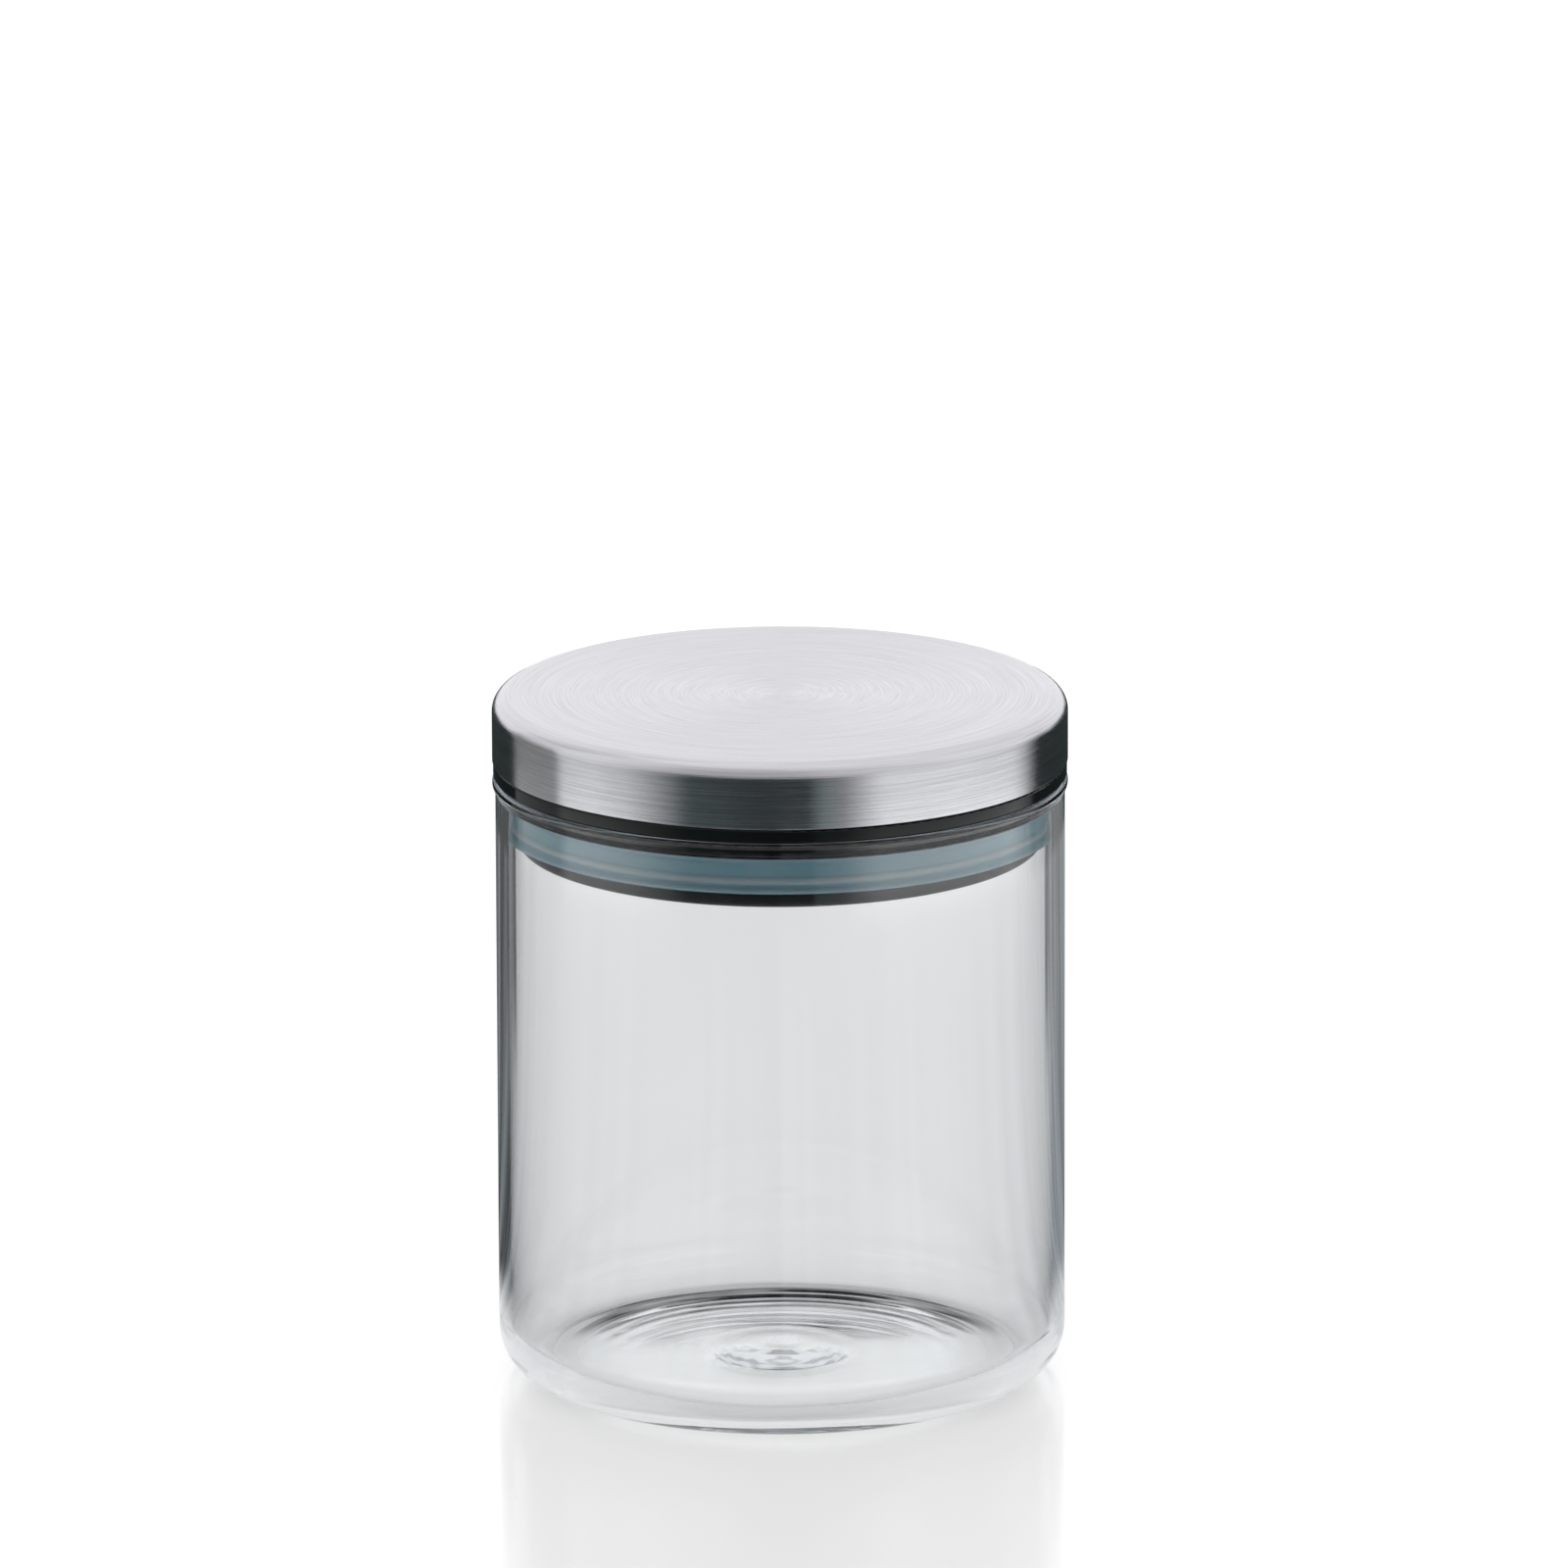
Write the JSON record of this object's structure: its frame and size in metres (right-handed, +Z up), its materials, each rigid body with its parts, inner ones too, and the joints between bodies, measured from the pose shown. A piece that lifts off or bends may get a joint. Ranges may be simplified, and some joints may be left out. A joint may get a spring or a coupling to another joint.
{
  "type": "lidded glass canister",
  "caption": "Straight-sided clear glass storage canister with a rounded heel, closed by a flat brushed steel plug lid with a silicone sealing ring.",
  "frame": {"origin": "centre of the circle the jar stands on, in the plane of the table", "axes": "+Z up along the axis of revolution, from the foot to the top of the lid; X and Y are equivalent, and -Y is taken as the front"},
  "size_m": [0.095, 0.095, 0.1154],
  "materials": {
    "clear_glass": "clear borosilicate glass, fire-polished",
    "brushed_steel": "stainless steel, spin-brushed on top and brushed round the skirt",
    "black_plastic": "moulded black plastic, glossy",
    "silicone": "translucent milky silicone, satin",
    "foam_tape": "closed-cell foam tape"
  },
  "bodies": {
    "jar": {"glass_jar": "clear_glass"},
    "seal": {"seal_ring": "silicone"},
    "lid": {"lid_shell": "brushed_steel", "lid_carrier": "black_plastic", "plug_base": "black_plastic", "bonding_pad": "foam_tape"}
  },
  "joints": [
    {"name": "lid_lift", "type": "slide", "parent": "jar", "child": "seal", "axis": [0, 0, 1], "range_m": [0, 0.12]},
    {"name": "lid_turn", "type": "hinge", "parent": "seal", "child": "lid", "pos_m": [0, 0, 0.09615], "axis": [0, 0, 1], "continuous": true}
  ]
}
